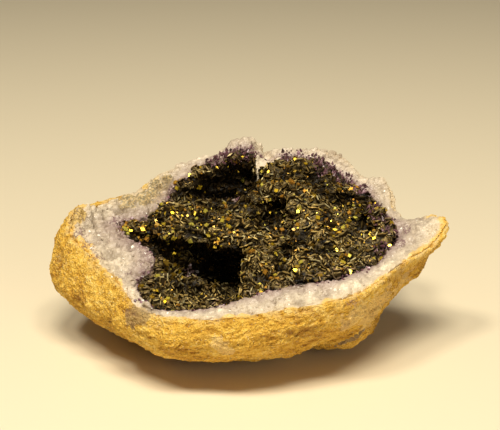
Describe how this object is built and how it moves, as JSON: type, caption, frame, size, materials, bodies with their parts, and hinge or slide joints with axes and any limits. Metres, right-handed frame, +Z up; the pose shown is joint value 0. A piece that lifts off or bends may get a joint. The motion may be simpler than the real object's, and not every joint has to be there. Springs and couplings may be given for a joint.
{
  "type": "geode half",
  "caption": "Half of a broken geode resting on its back: ochre rind, pale quartz wall and a hollow lined with dark bronzed crystals.",
  "frame": {"origin": "on the ground, under the middle of the geode's extents", "axes": "+X along the length towards the pointed end, -Y towards the lower front edge of the hollow, +Z up"},
  "size_m": [0.1216, 0.0842, 0.0547],
  "materials": {
    "rind": "matt, weathered and grainy",
    "quartz": "pale broken quartz with small bright facets",
    "crystals": "dark crystals with a bronze and gold sheen"
  },
  "bodies": {
    "root": {"rind": "rind", "quartz_wall": "quartz", "crystal_crust": "crystals"}
  },
  "joints": []
}
